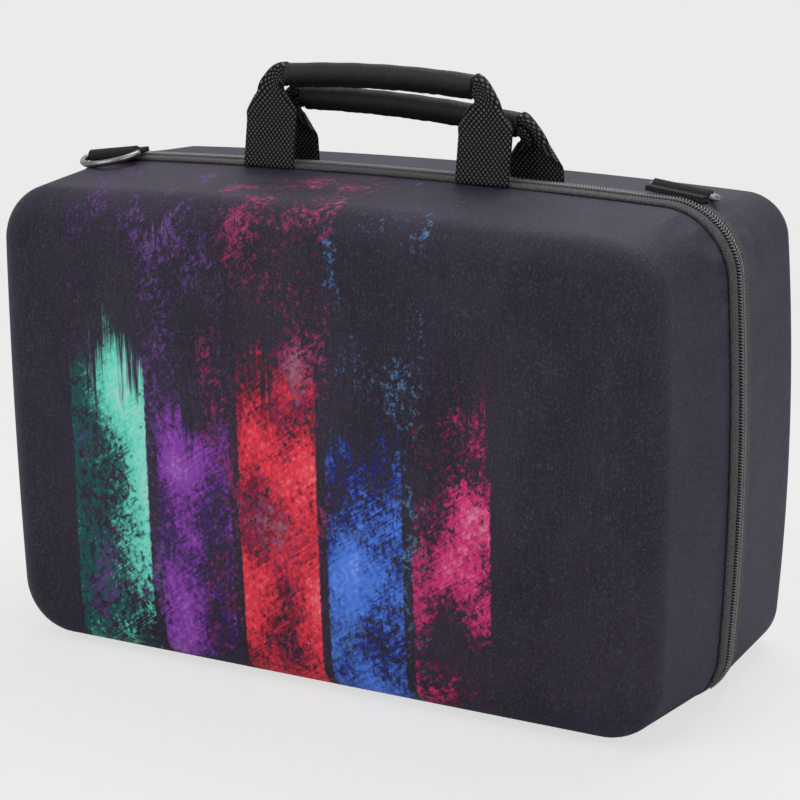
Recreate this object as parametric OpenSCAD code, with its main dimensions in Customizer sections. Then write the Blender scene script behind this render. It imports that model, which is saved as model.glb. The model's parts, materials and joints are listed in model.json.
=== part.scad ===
// Console carrying bag: two moulded foam shells in printed cloth, joined by a zip over
// the sides and top and by a cloth hinge along the bottom. Millimetres, +Z up, +X to
// the right, -Y to the front. The origin is on the floor, straight below the zip line.

/* [Case] */
// Width across the zip line
case_w = 500; // [440:5:560]
// Height from the floor to the top of the zip line
case_h = 328; // [290:2:370]
// Depth of the front shell from the zip line to its face
front_d = 114; // [94:1:134]
// Depth of the back shell from the zip line to its face
back_d = 125; // [104:1:144]
// Thickness of the moulded foam wall with its cloth
wall_t = 5; // [3:0.5:7]
// How far each side of the zip line bows out at its middle
side_bow = 7.9; // [2:0.1:12]
// How far the top of the zip line bows up at its middle
top_bow = 6.6; // [2:0.1:12]
// Radius of the top corners of the zip line
top_corner_r = 46; // [36:1:60]
// Radius of the bottom corners of the zip line
bottom_corner_r = 33; // [32:1:50]
// How far each shell's face crowns outwards at its middle
face_crown = 4; // [0:0.5:8]
// Half the gap between the two shells' rims
rim_gap = 4; // [3.5:0.1:6]

/* [Front shell] */
// Taper of each side of the front shell towards its face
front_side_draft = 9.5; // [2:0.5:16]
// Taper of the top of the front shell towards its face
front_top_draft = 4.3; // [1:0.1:10]
// Rise of the front shell's underside towards its face
front_bottom_draft = 3; // [0:0.1:6]
// Radius of the edge round the front face
front_edge_r = 23; // [14:1:32]
// Radius of the corners of the front face
front_face_corner_r = 39; // [34:1:50]
// How far each side of the front face bows out
front_face_bow = 2.9; // [0.5:0.1:8]

/* [Back shell] */
// Taper of each side of the back shell towards its face
back_side_draft = 2.5; // [1:0.5:12]
// Taper of the top of the back shell towards its face
back_top_draft = 9.3; // [1:0.1:12]
// Radius of the edge round the back face
back_edge_r = 24; // [14:1:27]
// Radius of the corners of the back face
back_face_corner_r = 31; // [30:1:50]

/* [Zip and hinge] */
// Width of each zip band, from the zip line to its outer edge
band_w = 14; // [12:0.5:18]
// Thickness of the folded band that edges the zip
band_t = 2.2; // [1.4:0.1:3]
// Thickness of the single tape that carries the teeth
tape_t = 0.8; // [0.5:0.1:1.2]
// Half the width of the closed chain of teeth
chain_half_w = 3.6; // [3:0.1:4.2]
// Height of the teeth above their tape
chain_t = 2.2; // [1.6:0.1:3]
// Distance from tooth to tooth along the chain
tooth_pitch = 5; // [4:0.5:8]
// How far the teeth of one side reach across the zip line
tooth_reach = 1.3; // [0.6:0.1:1.8]
// Gap between the teeth of the two sides, along the bag's depth
tooth_gap = 0.4; // [0.3:0.05:0.6]
// Angle of the bottom right corner that the chain leaves free
chain_end_angle = 38; // [25:1:60]

/* [Handles] */
// Width of the webbing
webbing_w = 38; // [30:1:42]
// Thickness of the webbing
webbing_t = 2; // [1.4:0.1:3]
// Distance between the two ends of the front handle
front_handle_span = 158; // [140:1:180]
// Height of the front grip above the bag
front_handle_rise = 60; // [50:1:75]
// How far the front grip leans back towards the zip line
front_handle_lean = 11; // [4:0.5:12]
// Distance between the two ends of the back handle
back_handle_span = 180; // [150:1:200]
// Height of the back grip above the bag
back_handle_rise = 40; // [32:1:46]
// How far the back grip leans forward towards the zip line
back_handle_lean = 4; // [2:0.5:6]
// How far the back handle is sewn to the right of the middle
back_handle_x = 13; // [0:1:20]
// How much lower the right end of the back grip hangs
back_grip_drop = 9; // [0:0.5:12]
// Radius of the padded grips
grip_r = 7.2; // [6:0.1:9]
// Wall of the padded grip round the webbing
grip_wall = 2.4; // [1.6:0.1:3]
// How far the middle of each grip arches up
grip_arch = 3; // [1:0.5:6]

/* [Shoulder strap rings] */
// Distance of each ring's middle from the side of the bag
ring_inset = 49; // [49:1:90]
// Radius of the ring's round wire
ring_wire_r = 2.2; // [1.6:0.1:3]

/* [Zip slider] */
// Length of the slider
slider_len = 17; // [14:0.5:20]
// Width of the slider across its shoulders
slider_w = 11; // [10:0.1:12]
// Length of the pull tab
pull_len = 32; // [24:1:40]
// Width of the pull tab
pull_w = 8.5; // [6.5:0.5:10]

/* [Inside] */
// Distance of each securing strap's middle from the side of the bag
strap_inset = 145; // [110:1:180]
// How far the securing straps lie inside the back shell
strap_depth = 22; // [19:1:40]
// Depth of the net pocket in the front shell
pocket_d = 14; // [8:1:24]
// Height of the net pocket
pocket_h = 190; // [120:5:220]
// Width of the tape that edges the net pocket
pocket_edge_w = 12; // [8:1:16]
// Distance between the cords of the net
net_pitch = 30; // [24:2:50]

/* [Hidden] */
$fn = 48;

FRONT = -1;
BACK = 1;
cloth_dark = [0.19, 0.18, 0.22];
band_grey = [0.29, 0.29, 0.29];
webbing_black = [0.12, 0.12, 0.13];
metal_grey = [0.36, 0.36, 0.38];
// Clearance between pieces that lie on each other
seat = 0.2;
// Clearance between pieces that move past each other
clear = 0.35;
// The hinge and the bands lie in a groove under the bag, flush with its bottom. The
// groove ends at the depth groove_y, and its edge takes edge_run more.
groove_h = band_t + seat;
groove_y = band_w + 1.5;
edge_run = 3;

// Shell sizes: depth, side draft, top draft, edge radius, face corner radius,
// side bow at the face, bottom draft
front_sizes = [
    front_d, front_side_draft, front_top_draft, front_edge_r, front_face_corner_r, front_face_bow,
    front_bottom_draft
];
back_sizes = [
    back_d, back_side_draft, back_top_draft, back_edge_r, back_face_corner_r, side_bow, 0
];
function sizes(side) = side == FRONT ? front_sizes : back_sizes;

// Depth at which the edge radius round a shell's face begins
function flank(side) = sizes(side)[0] - face_crown - sizes(side)[3];
// Share of the way from the zip line to the flank's end
function share(side, y) = min(1, max(0, y / flank(side)));
function mix(a, b, t) = a * (1 - t) + b * t;
// Height of the groove at a depth
function groove(y) = groove_h * min(1, max(0, (groove_y + edge_run - y) / edge_run));

// Radius of the arc over a chord of half length h that rises by bow
function bow_r(h, bow) = (h * h + bow * bow) / (2 * bow);

// A ring is a rounded rectangle of half width a from height z0 to z1, whose sides and
// top bow out. It is seven arcs that run into each other, from the bottom right
// corner up and over to the bottom left corner. Each arc is
// [centre x, centre z, radius, first angle, last angle].
function ring_arcs(a, z0, z1, side_b, top_b, top_r, bottom_r) =
    let (
        zm = (z0 + z1) / 2,
        rs = bow_r((z1 - z0) / 2, side_b),
        ru = bow_r(a, top_b),
        sx = a - rs,
        uz = z1 - ru,
        // the top corner touches both bows from inside
        d = norm([sx, uz - zm]),
        ex = -sx / d,
        ez = (uz - zm) / d,
        d1 = rs - top_r,
        d2 = ru - top_r,
        u = (d1 * d1 - d2 * d2 + d * d) / (2 * d),
        h = sqrt(d1 * d1 - u * u),
        cx = sx + ex * u - ez * h,
        cz = zm + ez * u + ex * h,
        // the bottom corner touches the side's bow and the flat bottom
        bz = z0 + bottom_r,
        bx = sx + sqrt((rs - bottom_r) * (rs - bottom_r) - (bz - zm) * (bz - zm)),
        low = atan2(bz - zm, bx - sx),
        high = atan2(cz - zm, cx - sx),
        over = atan2(cz - uz, cx)
    ) [
        [bx, bz, bottom_r, -90, low],
        [sx, zm, rs, low, high],
        [cx, cz, top_r, high, over],
        [0, uz, ru, over, 180 - over],
        [-cx, cz, top_r, 180 - over, 180 - high],
        [-sx, zm, rs, 180 - high, 180 - low],
        [-bx, bz, bottom_r, 180 - low, 270]
    ];

// The arcs of a shell's outside at a depth, moved inwards by e
function shell_arcs(side, y, e) =
    let (s = sizes(side), t = share(side, y))
    ring_arcs(
        case_w / 2 - s[1] * t - e, groove(y) + s[6] * t + e, case_h - s[2] * t - e,
        mix(side_bow, s[5], t), top_bow,
        mix(top_corner_r, s[4], t) - e, mix(bottom_corner_r, s[4], t) - e);

// Points taken on each arc, and on the flat bottom
ARC_STEPS = [6, 5, 6, 8, 6, 5, 6];
BOTTOM_STEPS = 3;
function arc_point(arc, t) =
    let (w = mix(arc[3], arc[4], t)) [arc[0] + arc[2] * cos(w), arc[1] + arc[2] * sin(w)];
// Stations [arc, share] along the seven arcs, with the last arc's end
stations = [for (k = [0 : 6]) for (i = [0 : ARC_STEPS[k] - 1]) [k, i / ARC_STEPS[k]], [6, 1]];
function at_station(arcs, st) = arc_point(arcs[st[0]], st[1]);
// A closed ring of points in the plane y
function ring_points(arcs, y) =
    let (p = [for (st = stations) at_station(arcs, st)], a = p[len(p) - 1], b = p[0])
    reverse([for (q = p) [q[0], y, q[1]],
     for (i = [1 : BOTTOM_STEPS]) [mix(a[0], b[0], i / (BOTTOM_STEPS + 1)), y, a[1]]]);

// Length of an arc, and the point at a length along the seven arcs, moved out by n.
// The point comes with the direction that it faces.
function arc_len(arc) = arc[2] * (arc[4] - arc[3]) * PI / 180;
function along(arcs, s, n, k = 0) =
    (s > arc_len(arcs[k]) && k < 6) ? along(arcs, s - arc_len(arcs[k]), n, k + 1)
    : let (c = arcs[k], w = c[3] + s / c[2] * 180 / PI)
      [c[0] + (c[2] + n) * cos(w), c[1] + (c[2] + n) * sin(w), w];
function sum(v, i = 0) = i < len(v) ? v[i] + sum(v, i + 1) : 0;

// Height of the top of a shell's outside at x, moved out by n
function top_z(side, x, y, n) =
    let (arcs = shell_arcs(side, y, -n), t = arcs[3], c = arcs[2], ax = abs(x))
    ax < c[0] + c[2] * cos(c[4]) ? t[1] + sqrt(t[2] * t[2] - ax * ax)
    : c[1] + sqrt(max(0, c[2] * c[2] - (ax - c[0]) * (ax - c[0])));

function reverse(v) = [for (i = [len(v) - 1 : -1 : 0]) v[i]];

// A closed skin over rings of equally many points, with a pole at either end. The
// rings run anticlockwise as seen by someone who walks from pole to pole.
module skin(pole_a, rings, pole_b) {
    n = len(rings[0]);
    m = len(rings);
    points = [pole_a, for (r = rings) for (p = r) p, pole_b];
    polyhedron(points, [
        for (i = [0 : n - 1]) [0, 1 + i, 1 + (i + 1) % n],
        for (j = [0 : m - 2]) for (i = [0 : n - 1]) let (a = 1 + j * n, k = (i + 1) % n)
            each [[a + i, a + n + i, a + n + k], [a + i, a + n + k, a + k]],
        for (i = [0 : n - 1]) let (a = 1 + (m - 1) * n) [a + i, 1 + m * n, a + (i + 1) % n]
    ]);
}

// Rings of one surface of a shell, from the rim to the face, e inside the outside
EDGE_ANGLES = [0, 22, 45, 68, 90];
FACE_SHARES = [0.7, 0.35];
function surface_rings(side, e) =
    let (
        r = sizes(side)[3] - e * 0.6,
        y1 = sizes(side)[0] - face_crown - r - e,
        last = ring_points(shell_arcs(side, y1, e + r), y1 + r),
        mid = [0, y1 + r, case_h / 2]
    ) [
        ring_points(shell_arcs(side, rim_gap, e), rim_gap),
        ring_points(shell_arcs(side, groove_y, e), groove_y),
        ring_points(shell_arcs(side, groove_y + edge_run, e), groove_y + edge_run),
        ring_points(shell_arcs(side, mix(groove_y, y1, 0.55), e), mix(groove_y, y1, 0.55)),
        for (w = EDGE_ANGLES)
            ring_points(shell_arcs(side, y1, e + r * (1 - cos(w))), y1 + r * sin(w)),
        for (u = FACE_SHARES)
            [for (p = last) [mix(mid[0], p[0], u), p[1] + face_crown * (1 - u * u), mix(mid[2], p[2], u)]]
    ];
function face_pole(side, e) = [0, sizes(side)[0] - e, case_h / 2];

// One half of the case: a moulded cup with an even wall
module shell(side) {
    module cup()
        skin(face_pole(side, wall_t), concat(reverse(surface_rings(side, wall_t)), surface_rings(side, 0)),
            face_pole(side, 0));
    if (side == FRONT) mirror([0, 1, 0]) cup();
    else cup();
}
module front_shell() color(cloth_dark) shell(FRONT);
module back_shell() color(cloth_dark) shell(BACK);

// The band's section from its outer edge to the teeth: depth and height over the shell
band_step_y = chain_half_w + 1.8;
band_section = [
    [band_w, 0], [band_w, band_t * 0.5], [band_w - 1.2, band_t], [band_step_y, band_t],
    [band_step_y - 0.2, tape_t], [tooth_reach + tooth_gap, tape_t], [tooth_reach + tooth_gap, 0]
];
// Point of a band at a station
function band_point(side, st, y, n) =
    let (p = at_station(shell_arcs(side, y, -seat - n), st)) [p[0], y, p[1]];

// Cloth band sewn round a shell's rim: a folded edge and the thin tape of the zip
module zip_band(side) {
    rings = [for (st = stations) [for (q = reverse(band_section)) band_point(side, st, q[0], q[1])]];
    pole_y = band_step_y + 0.1;
    module band()
        skin(band_point(side, [0, 0], pole_y, tape_t / 2), rings,
            band_point(side, [6, 1], pole_y, tape_t / 2));
    if (side == FRONT) mirror([0, 1, 0]) band();
    else band();
}
module front_zip_band() color(band_grey) zip_band(FRONT);
module back_zip_band() color(band_grey) zip_band(BACK);

// Teeth. Both sides follow one zigzag, half the gap to either side of it, so that each
// tooth stands in the notch between two teeth of the other side.
zip_arcs = shell_arcs(BACK, 0, 0);
zip_len = sum([for (c = zip_arcs) arc_len(c)]);
// The chain starts in the bottom right corner and stops at the foot of the left side
chain_start = bottom_corner_r * chain_end_angle * PI / 180;
chain_stop = zip_len - arc_len(zip_arcs[6]) - 2;
tooth_count = floor((chain_stop - chain_start) / tooth_pitch);
chain_n0 = seat + tape_t + seat;
chain_n1 = chain_n0 + chain_t;
// Point at a length s, at depth y and height n over the zip line
function chain_point(s, y, n) = let (p = along(zip_arcs, s, n)) [p[0], y, p[1]];
module zip_teeth(side) {
    steps = [0 : 2 * tooth_count];
    rings = [for (i = steps)
        let (s = chain_start + i * tooth_pitch / 2,
             y = tooth_reach * (i % 2 == 0 ? -1 : 1) + side * tooth_gap / 2,
             q = [chain_point(s, y, chain_n0), chain_point(s, side * chain_half_w, chain_n0),
                  chain_point(s, side * chain_half_w, chain_n1 - 0.5), chain_point(s, y, chain_n1)])
        side == FRONT ? q : reverse(q)];
    function middle(r) = (r[0] + r[1] + r[2] + r[3]) / 4;
    skin(middle(rings[0]), rings, middle(rings[len(rings) - 1]));
}
module front_zip_teeth() color(webbing_black) zip_teeth(FRONT);
module back_zip_teeth() color(webbing_black) zip_teeth(BACK);

// Cloth hinge: a strip under both shells, between the ends of the bands
strip_end = at_station(shell_arcs(BACK, 0, 0), [0, 0])[0] - 2;
module hinge_strip() color(band_grey)
    translate([-strip_end, -band_w, groove_h - seat - band_t]) cube([2 * strip_end, 2 * band_w, band_t]);

// Handles. Sizes: side, middle x, span, rise, lean, drop of the right end
front_handle = [FRONT, 0, front_handle_span, front_handle_rise, front_handle_lean, 0];
back_handle = [BACK, back_handle_x, back_handle_span, back_handle_rise, back_handle_lean, back_grip_drop];
// The webbing turns into the grip over these distances, and folds together below that
turn_in = 9;
turn_up = 12;
fold_up = 12;
// Half width and half thickness of the webbing where it starts to turn
fold_half_w = 8.6;
fold_half_t = 3.2;
grip_gap = 0.5;
function grip_len(h) = h[2] - 2 * turn_in;
function base_y(h) = h[0] * (band_w + webbing_t / 2 + 0.6);
// Inner edge of the webbing's end that is nearer the middle of the bag
function inner_x(h) = h[2] / 2 - abs(h[1]) - webbing_w / 2;
// Height at which the webbing swings: the middle of its rounded lower end
function base_z(h) = top_z(h[0], inner_x(h), abs(base_y(h)), 0) + webbing_t / 2 + clear;
function grip_y(h) = base_y(h) - h[0] * h[4];
function grip_tilt(h) = atan2(h[5], grip_len(h));
// Rise of the webbing's end on the left (-1) or right (1)
function end_rise(h, e) = h[3] - e * h[5] / 2;

// A flat oval of half width hw along direction w and half thickness ht along y.
// square runs from 0, round, to 1, a rectangle.
OVAL_SIDES = 12;
function oval(c, w, hw, ht, square) =
    [for (i = [0 : OVAL_SIDES - 1])
        let (a = i * 360 / OVAL_SIDES, k = mix(1, 0.15, square),
             u = hw * sign(cos(a)) * pow(abs(cos(a)), k), v = ht * sign(sin(a)) * pow(abs(sin(a)), k))
        [c[0] + w[0] * u, c[1] + v, c[2] + w[1] * u]];

// Webbing from the bag up to one end of the grip, as rings from the bag upwards. It is
// flat at the bag, folds together, and turns level as it gets as thick as the grip.
TURN_ANGLES = [0, 18, 36, 54, 72, 90];
END_ANGLES = [30, 60];
function end_rings(h, e) =
    let (rise = end_rise(h, e), x0 = h[1] + e * h[2] / 2, tilt = e * grip_tilt(h) + grip_half_angle(h),
         lean = h[0] * h[4] / rise)
    [for (a = END_ANGLES) oval([x0, base_y(h), base_z(h) - webbing_t / 2 * cos(a)], [-e, 0],
        webbing_w / 2, webbing_t / 2 * sin(a), 1),
     for (z = [0, rise - turn_up - fold_up]) oval(
        [x0, base_y(h) - lean * z, base_z(h) + z], [-e, 0], webbing_w / 2, webbing_t / 2, 1),
     for (a = TURN_ANGLES)
        let (t = a / 90, z = rise - turn_up + turn_up * sin(a), w = a - tilt * t)
        oval([x0 - e * turn_in * (1 - cos(a)), base_y(h) - lean * z, base_z(h) + z],
            [-e * cos(w), -sin(w)], mix(fold_half_w, grip_r, t), mix(fold_half_t, grip_r, t),
            mix(0.6, 0, t))];

// The grip is an arc over its own chord
function arch_r(h) = bow_r(grip_len(h) / 2, grip_arch);
// Point on the middle line of the grip at an angle from its middle
function grip_point(h, w) =
    let (x = arch_r(h) * sin(w), z = arch_r(h) * (cos(w) - 1) + grip_arch, t = -grip_tilt(h))
    [h[1] + x * cos(t) - z * sin(t), grip_y(h), base_z(h) + h[3] + x * sin(t) + z * cos(t)];
function grip_half_angle(h) = asin((grip_len(h) / 2 - grip_gap) / arch_r(h));
core_r = grip_r - grip_wall - 0.3;
CORE_STEPS = 6;

module handle_webbing(h) {
    left = end_rings(h, -1);
    right = end_rings(h, 1);
    half = grip_half_angle(h);
    core = [for (i = [0 : CORE_STEPS])
        let (w = mix(-half, half, i / CORE_STEPS), t = w - (-grip_tilt(h)))
        oval(grip_point(h, w), [-sin(t), -cos(t)], core_r, core_r, 0)];
    rings = concat(left, core, reverse(right));
    z0 = base_z(h) - webbing_t / 2 * cos(END_ANGLES[0]);
    skin([h[1] - h[2] / 2, base_y(h), z0], rings, [h[1] + h[2] / 2, base_y(h), z0]);
}
module front_handle_webbing() color(webbing_black) handle_webbing(front_handle);
module back_handle_webbing() color(webbing_black) handle_webbing(back_handle);

// Padded sleeve round the webbing, with the sewn lip that closes it underneath
lip_w = 2.6;
lip_h = 3.2;
module handle_grip(h) {
    half = grip_half_angle(h);
    translate([h[1], grip_y(h), base_z(h) + h[3]]) rotate([0, grip_tilt(h), 0])
        translate([0, 0, grip_arch - arch_r(h)]) rotate([90, 0, 0]) rotate([0, 0, 90 - half])
            rotate_extrude(angle = 2 * half, $fn = CORE_STEPS * 180 / half)
                translate([arch_r(h), 0]) difference() {
                    union() {
                        circle(r = grip_r, $fn = 28);
                        translate([-grip_r - lip_h / 2, -lip_w / 2]) square([lip_h + grip_wall / 2, lip_w]);
                    }
                    circle(r = grip_r - grip_wall, $fn = 16);
                }
}
module front_handle_grip() color(webbing_black) handle_grip(front_handle);
module back_handle_grip() color(webbing_black) handle_grip(back_handle);

// Shoulder strap rings. Each lies in a loop of webbing sewn on the band, on the left
// of the front shell and on the right of the back shell.
ring_clear = 0.3;
ring_x = case_w / 2 - ring_inset;
loop_r = ring_wire_r + ring_clear + webbing_t;
ring_bar_y = band_w + loop_r + 0.4;
// Radius of the ring's arc to the middle of the wire, which clears the loop's corners
ring_arc_r = norm([webbing_w / 2 + ring_wire_r + clear, loop_r]);
// Height of the bar's middle above the shell
bar_h = loop_r + seat + clear;
function ring_bar_z(side) = top_z(side, ring_x, ring_bar_y, 0) + bar_h;
// Fall of the bag's top across the tab's width, and away from the zip line
function ring_fall(side) =
    let (x0 = ring_x - webbing_w / 2, x1 = ring_x + webbing_w / 2)
    atan2(top_z(side, x0, band_w, 0) - top_z(side, x1, band_w, 0), webbing_w);
function ring_dip(side) = atan2(sizes(side)[2], flank(side));
// The ring's wire comes down to the shell at the far end of its arc
ring_slope = asin((bar_h - ring_wire_r - 2 * clear) / ring_arc_r);
// Places a ring or its tab: the bar's middle is the origin, +Y points away from the
// zip line, +X along the bar
module at_ring(side) {
    rotate([0, 0, side == FRONT ? 180 : 0]) translate([ring_x, ring_bar_y, ring_bar_z(side)])
        rotate([0, ring_fall(side), 0]) rotate([-ring_dip(side), 0, 0]) children();
}
tab_len = ring_bar_y - chain_half_w - 0.6;
// Underside of the tab, on the band, below the bar's middle
tab_z = band_t + 2 * seat + clear - bar_h;
module ring_tab(side) {
    at_ring(side) rotate([90, 0, 90]) linear_extrude(webbing_w, center = true) difference() {
        union() {
            circle(r = loop_r);
            translate([-tab_len, tab_z]) square([tab_len, webbing_t * 1.6]);
            translate([-loop_r, tab_z]) square([loop_r, -tab_z]);
        }
        circle(r = ring_wire_r + ring_clear);
    }
}
module front_ring_tab() color(webbing_black) ring_tab(FRONT);
module back_ring_tab() color(webbing_black) ring_tab(BACK);

// Ring of round wire: a straight bar and half a circle
module d_ring(side) {
    at_ring(side) rotate([-ring_slope, 0, 0]) {
        rotate_extrude(angle = 180) translate([ring_arc_r, 0]) circle(r = ring_wire_r, $fn = 24);
        translate([-ring_arc_r, 0, 0]) rotate([0, 90, 0])
            cylinder(r = ring_wire_r, h = 2 * ring_arc_r, $fn = 24);
        for (x = [-ring_arc_r, ring_arc_r]) translate([x, 0, 0]) sphere(r = ring_wire_r, $fn = 24);
    }
}
module front_d_ring() color(metal_grey) d_ring(FRONT);
module back_d_ring() color(metal_grey) d_ring(BACK);

// Zip slider, parked at the foot of the left side, where the closed chain stops. It
// travels on the arc of that side, so it is placed by turning about the arc's centre.
left_arc = zip_arcs[5];
plate_n = chain_n1 + clear;
plate_t = 1.4;
slider_lip_y = chain_half_w + clear;
slider_lip_t = 0.9;
tail_w = 2 * (slider_lip_y + slider_lip_t);
ear_r = 2;
crown_w = 3.4;
crown_r = 2.2;
crown_n = plate_n + plate_t + ear_r + clear;
pin_r = 0.9;
pin_clear = 0.05;
slider_z = arc_point(left_arc, 1)[1] + slider_len / 2 + 3;
// Places a piece on the slider: +X points away from the bag, +Y to the front, +Z up
module at_chain() {
    w = 180 - asin((slider_z - left_arc[1]) / left_arc[2]);
    translate([left_arc[0], 0, left_arc[1]]) rotate([0, -w, 0]) translate([left_arc[2], 0, 0])
        rotate([180, 0, 0]) children();
}
// Seen from outside, two round shoulders at the open end, below, and a narrower tail
module slider_outline() {
    shoulder_r = slider_w * 0.3;
    for (y = [-1, 1])
        translate([slider_len / 2 - shoulder_r, y * (slider_w / 2 - shoulder_r)]) circle(r = shoulder_r);
    translate([0, -slider_w / 2 + shoulder_r]) square([slider_len / 2, slider_w - 2 * shoulder_r]);
    translate([0, -slider_w / 2]) square([slider_len / 2 - shoulder_r, slider_w]);
    translate([-slider_len / 2 + tail_w / 2, -tail_w / 2]) square([slider_len / 2, tail_w]);
    translate([-slider_len / 2 + tail_w / 2, 0]) circle(r = tail_w / 2);
}
// A lip beside the teeth on the side y, down to the height n
module slider_lip(y, n) {
    lip_len = slider_len - tail_w / 2 - 3;
    translate([n, y > 0 ? slider_lip_y : -slider_lip_y - slider_lip_t, -lip_len / 2 - 1])
        cube([plate_n - n + plate_t / 2, slider_lip_t, lip_len]);
}
module zip_slider() color(metal_grey) at_chain() difference() {
    union() {
        translate([plate_n, 0, 0]) rotate([0, 90, 0]) linear_extrude(plate_t) slider_outline();
        // deep on the back half's side, and shallow on the front half's, whose teeth
        // leave the slider sideways as the case opens
        slider_lip(-1, chain_n0 + tape_t);
        slider_lip(1, chain_n1 + 0.15);
        // crown that holds the pull
        translate([plate_n + plate_t / 2, -crown_w / 2, -crown_r])
            cube([crown_n - plate_n - plate_t / 2, crown_w, 2 * crown_r]);
        translate([crown_n, crown_w / 2, 0]) rotate([90, 0, 0]) cylinder(r = crown_r, h = crown_w);
    }
    translate([crown_n, crown_w, 0]) rotate([90, 0, 0])
        cylinder(r = pin_r + pin_clear, h = 2 * crown_w, $fn = 32);
}

// Pull tab: two ears and a pin through the crown, and a plate that tapers to its hole
ear_t = 1.3;
pull_t = 1.6;
pull_hole_r = 1.8;
pull_start = crown_r + 1.4;
module zip_pull() color(metal_grey) {
    ear_y = crown_w / 2 + clear;
    end_r = pull_w * 0.4;
    at_chain() translate([crown_n, 0, 0]) {
        rotate([90, 0, 0]) cylinder(r = pin_r, h = 2 * (ear_y + ear_t), center = true, $fn = 32);
        for (y = [-ear_y - ear_t, ear_y]) translate([0, y, 0]) {
            translate([0, ear_t, 0]) rotate([90, 0, 0]) cylinder(r = ear_r, h = ear_t);
            translate([-pull_t / 2, 0, -pull_start - 1]) cube([pull_t, ear_t, pull_start + 1]);
        }
        translate([-pull_t / 2, 0, 0]) rotate([0, 90, 0]) linear_extrude(pull_t) difference() {
            hull() {
                translate([pull_start, -pull_w / 2]) square([1, pull_w]);
                translate([pull_len - end_r, 0]) circle(r = end_r, $fn = 32);
            }
            translate([pull_len - end_r, 0]) circle(r = pull_hole_r, $fn = 32);
        }
    }
}

// Securing straps: webbing across the back shell, sewn to its floor and its roof
foot = 26;
strap_x = case_w / 2 - strap_inset;
module securing_strap(x) {
    z0 = wall_t + seat;
    y0 = strap_depth;
    z1 = top_z(BACK, abs(x) + webbing_w / 2, y0 + foot, -wall_t) - seat;
    translate([x, 0, 0]) rotate([90, 0, 90]) linear_extrude(webbing_w, center = true) polygon([
        [y0 + foot, z0], [y0 + foot, z0 + webbing_t], [y0 + webbing_t, z0 + webbing_t],
        [y0 + webbing_t, z1 - webbing_t], [y0 + foot, z1 - webbing_t], [y0 + foot, z1], [y0, z1], [y0, z0]
    ]);
}
module left_securing_strap() color(webbing_black) securing_strap(-strap_x);
module right_securing_strap() color(webbing_black) securing_strap(strap_x);

// Net pocket on the inside of the front shell: a frame of tape that stands off the
// shell's face, with a net of cords across it
pocket_w = case_w - 2 * (front_side_draft + wall_t + front_edge_r + side_bow) - 6;
pocket_z = wall_t + front_edge_r + 6;
pocket_y = -(front_d - face_crown - wall_t - seat);
net_t = 1.2;
cord_w = 2.4;
// The edging stands off the face along the bottom and both sides. Along the top it is
// a flat tape, behind which the pocket is open.
module pocket_edging() color(band_grey)
    translate([0, pocket_y + pocket_d, pocket_z]) rotate([90, 0, 0]) difference() {
        translate([-pocket_w / 2, 0, 0]) cube([pocket_w, pocket_h, pocket_d]);
        translate([-pocket_w / 2 + pocket_edge_w, pocket_edge_w, -1])
            cube([pocket_w - 2 * pocket_edge_w, pocket_h - 2 * pocket_edge_w, pocket_d + 2]);
        translate([-pocket_w / 2 + pocket_edge_w, pocket_edge_w, webbing_t])
            cube([pocket_w - 2 * pocket_edge_w, pocket_h, pocket_d]);
    }
net_w = pocket_w - 2 * pocket_edge_w - 2 * seat;
net_h = pocket_h - 2 * pocket_edge_w - 2 * seat;
net_columns = round(net_w / net_pitch);
net_rows = round(net_h / net_pitch);
module pocket_net() color(webbing_black)
    translate([0, pocket_y + pocket_d - 1, pocket_z + pocket_edge_w + seat]) rotate([90, 0, 0])
        linear_extrude(net_t) difference() {
            translate([-net_w / 2, 0]) square([net_w, net_h]);
            for (i = [0 : net_columns - 1]) for (j = [0 : net_rows - 1])
                translate([-net_w / 2 + cord_w / 2 + (i + 0.5) * (net_w - cord_w) / net_columns,
                           cord_w / 2 + (j + 0.5) * (net_h - cord_w) / net_rows])
                    square([(net_w - cord_w) / net_columns - cord_w,
                            (net_h - cord_w) / net_rows - cord_w], center = true);
        }

front_shell();
back_shell();
front_zip_band();
back_zip_band();
front_zip_teeth();
back_zip_teeth();
hinge_strip();
front_handle_webbing();
front_handle_grip();
back_handle_webbing();
back_handle_grip();
front_ring_tab();
front_d_ring();
back_ring_tab();
back_d_ring();
zip_slider();
zip_pull();
left_securing_strap();
right_securing_strap();
pocket_net();
pocket_edging();
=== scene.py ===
import bpy
import json
import numpy as np
from mathutils import Matrix, Vector

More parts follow.
